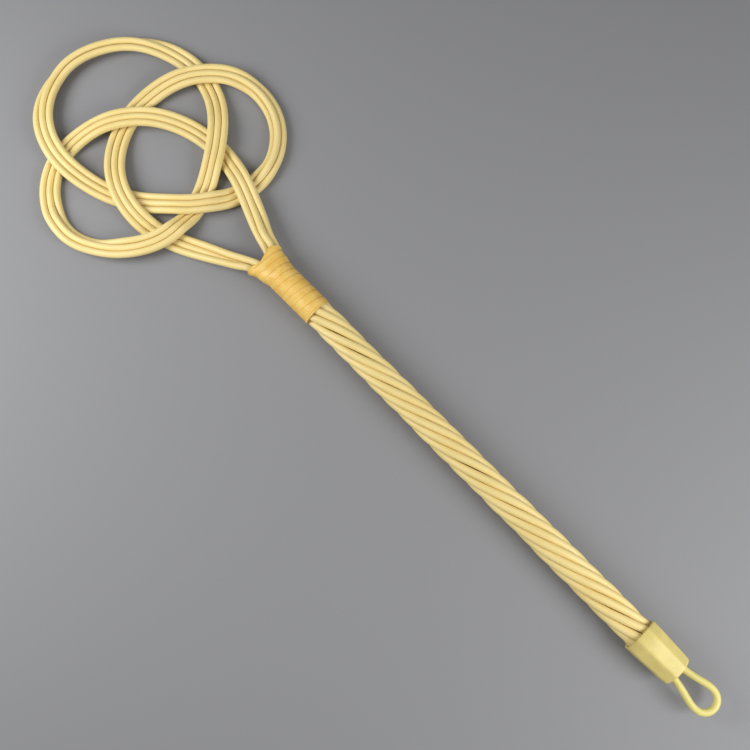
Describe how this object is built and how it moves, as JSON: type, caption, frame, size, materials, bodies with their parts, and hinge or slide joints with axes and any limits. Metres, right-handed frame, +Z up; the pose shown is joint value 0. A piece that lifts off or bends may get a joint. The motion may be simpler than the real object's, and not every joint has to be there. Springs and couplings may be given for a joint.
{
  "type": "carpet beater",
  "caption": "Hand-held beater with a flat head of looped and woven plastic rods, a twisted rod handle, a wound neck binding and a capped end with a hanging loop.",
  "frame": {"origin": "middle of the object's box in X and Y, on the surface that it lies on", "axes": "+X along the handle from the looped head to the hanging loop, +Z up from the surface through the head's thickness"},
  "size_m": [0.7444, 0.2148, 0.0284],
  "materials": {
    "rod_plastic": "satin cream yellow",
    "loop_plastic": "satin greenish yellow",
    "core_wood": "raw reddish brown",
    "tape": "satin orange yellow",
    "cap_plastic": "satin greenish yellow"
  },
  "bodies": {
    "root": {"head_rod_outer_arch": "rod_plastic", "head_rod_outer_left_loop": "rod_plastic", "head_rod_outer_far_loop": "rod_plastic", "head_rod_outer_right_loop": "rod_plastic", "head_rod_middle_arch": "rod_plastic", "head_rod_middle_left_loop": "rod_plastic", "head_rod_middle_far_loop": "rod_plastic", "head_rod_middle_right_loop": "rod_plastic", "head_rod_inner_arch": "rod_plastic", "head_rod_inner_left_loop": "rod_plastic", "head_rod_inner_far_loop": "rod_plastic", "head_rod_inner_right_loop": "rod_plastic", "handle_strand_right_outer": "rod_plastic", "handle_strand_right_middle": "rod_plastic", "handle_strand_right_inner": "rod_plastic", "handle_strand_left_outer": "rod_plastic", "handle_strand_left_middle": "rod_plastic", "handle_strand_left_inner": "rod_plastic", "handle_strand_short_upper": "rod_plastic", "handle_strand_short_lower": "rod_plastic", "hanging_loop": "loop_plastic", "handle_core_rod": "core_wood", "binding_tape": "tape", "end_cap": "cap_plastic"}
  },
  "joints": []
}
